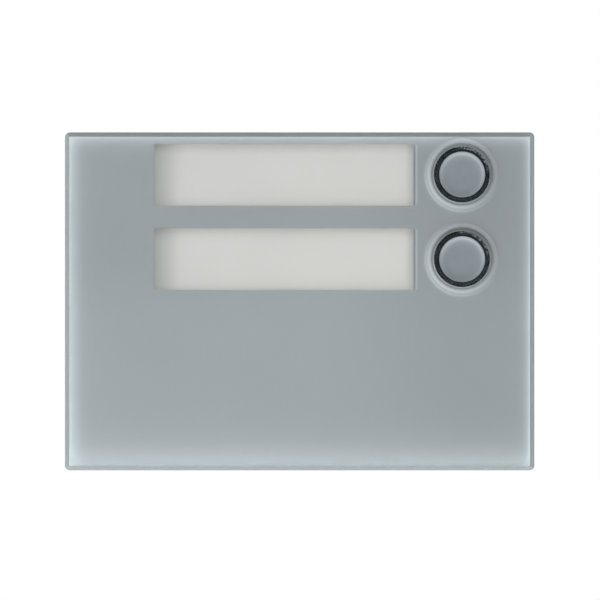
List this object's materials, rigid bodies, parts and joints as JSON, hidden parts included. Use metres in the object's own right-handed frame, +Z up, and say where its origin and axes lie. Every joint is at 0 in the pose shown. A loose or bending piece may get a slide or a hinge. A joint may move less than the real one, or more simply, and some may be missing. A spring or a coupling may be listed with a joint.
{
  "type": "door intercom call panel",
  "caption": "Landscape glass-fronted call panel: lit name-card windows beside round push buttons, slim body behind, hung on a steel wall plate.",
  "frame": {"origin": "centre of the wall plate's back face, on the wall plane", "axes": "+X to the right seen from the front, +Z up, +Y into the wall, so the glass looks along -Y"},
  "size_m": [0.125, 0.031, 0.09],
  "materials": {
    "glass": "polished clear float glass",
    "print": "silver-grey metallic print on film",
    "tape": "matt foam tape",
    "body_plastic": "fine-textured dark grey moulding",
    "clear_plastic": "clear moulded plastic",
    "card": "smooth uncoated card",
    "opal": "opal diffusing sheet",
    "cap_metal": "bead-blasted, clear anodised",
    "black_rubber": "moulded rubber",
    "collar_plastic": "black moulding",
    "white_plastic": "natural white moulding",
    "spring_steel": "drawn spring wire",
    "component_black": "moulded epoxy",
    "stem_plastic": "red switch stem",
    "board": "green solder mask",
    "led": "clear lens over phosphor",
    "can_metal": "drawn aluminium can",
    "terminal_plastic": "green moulding",
    "screw_steel": "zinc plated",
    "contact_brass": "tin-free brass",
    "plate_steel": "pressed galvanised sheet"
  },
  "bodies": {
    "panel": {"front_glass": "glass", "printed_mask": "print", "bonding_tape": "tape", "front_carrier": "body_plastic", "light_diffuser_upper": "opal", "light_diffuser_lower": "opal", "button_collar_upper": "collar_plastic", "button_collar_lower": "collar_plastic", "button_spring_upper": "spring_steel", "button_spring_lower": "spring_steel", "switch_case_upper": "component_black", "switch_case_lower": "component_black", "circuit_board": "board", "backlight_leds": "led", "processor_chip": "component_black", "capacitors": "can_metal", "chip_resistors": "component_black", "terminal_block": "terminal_plastic", "terminal_screws": "screw_steel", "terminal_clamps": "contact_brass", "link_socket": "white_plastic", "link_pins": "contact_brass", "board_screws": "screw_steel", "body_gasket": "black_rubber", "rear_housing": "body_plastic", "housing_screws": "screw_steel", "wall_plate": "plate_steel", "locking_screws": "screw_steel", "cable_bushing": "black_rubber"},
    "upper_button": {"button_cap_upper": "cap_metal", "button_oring_upper": "black_rubber", "button_plunger_upper": "white_plastic", "switch_stem_upper": "stem_plastic"},
    "lower_button": {"button_cap_lower": "cap_metal", "button_oring_lower": "black_rubber", "button_plunger_lower": "white_plastic", "switch_stem_lower": "stem_plastic"},
    "upper_card": {"card_holder_upper": "clear_plastic", "name_card_upper": "card"},
    "lower_card": {"card_holder_lower": "clear_plastic", "name_card_lower": "card"}
  },
  "joints": [
    {"name": "button_upper_press", "type": "slide", "parent": "panel", "child": "upper_button", "axis": [0, 1, 0], "range_m": [0, 0.0012], "stiffness_N_per_m": 900, "springref_m": -0.001, "deforming": ["button_spring_upper"]},
    {"name": "button_lower_press", "type": "slide", "parent": "panel", "child": "lower_button", "axis": [0, 1, 0], "range_m": [0, 0.0012], "stiffness_N_per_m": 900, "springref_m": -0.001, "deforming": ["button_spring_lower"]},
    {"name": "card_upper_slide", "type": "slide", "parent": "panel", "child": "upper_card", "axis": [-1, 0, 0], "range_m": [0, 0.095]},
    {"name": "card_lower_slide", "type": "slide", "parent": "panel", "child": "lower_card", "axis": [-1, 0, 0], "range_m": [0, 0.095]}
  ]
}
